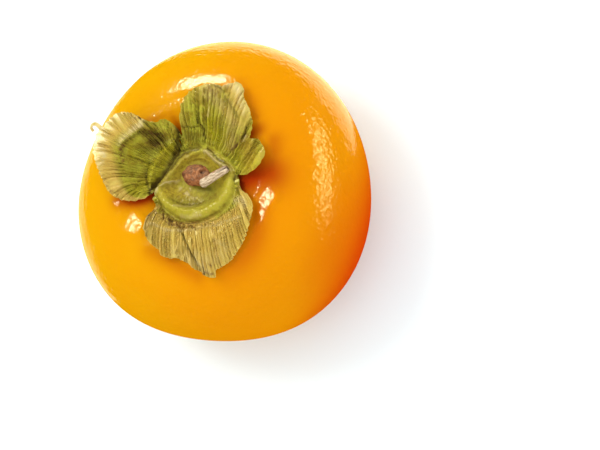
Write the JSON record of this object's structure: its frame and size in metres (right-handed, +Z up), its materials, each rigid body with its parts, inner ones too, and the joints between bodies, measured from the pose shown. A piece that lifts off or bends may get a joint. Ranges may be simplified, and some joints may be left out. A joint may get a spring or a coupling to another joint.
{
  "type": "persimmon",
  "caption": "Whole ripe persimmon with a flattened glossy body, a leafy dried calyx with curled lobes and a short woody stem stub, resting on its blossom end.",
  "frame": {"origin": "middle of the fruit's footprint, on the surface that its blossom end rests on", "axes": "+Z up along the fruit's axis from the blossom end to the stem, +X towards the side that the small fourth lobe and the stub point to"},
  "size_m": [0.0756, 0.0778, 0.0636],
  "materials": {
    "skin": "smooth, waxy, glossy fruit skin, golden orange turning redder on the shaded side",
    "calyx": "dry leafy calyx, olive green by the stem and papery tan with fine ribs at the lobes' edges",
    "bark": "rough brown bark on the knob, paler dry wood on the stub"
  },
  "bodies": {
    "root": {"fruit": "skin", "calyx": "calyx", "stem": "bark"}
  },
  "joints": []
}
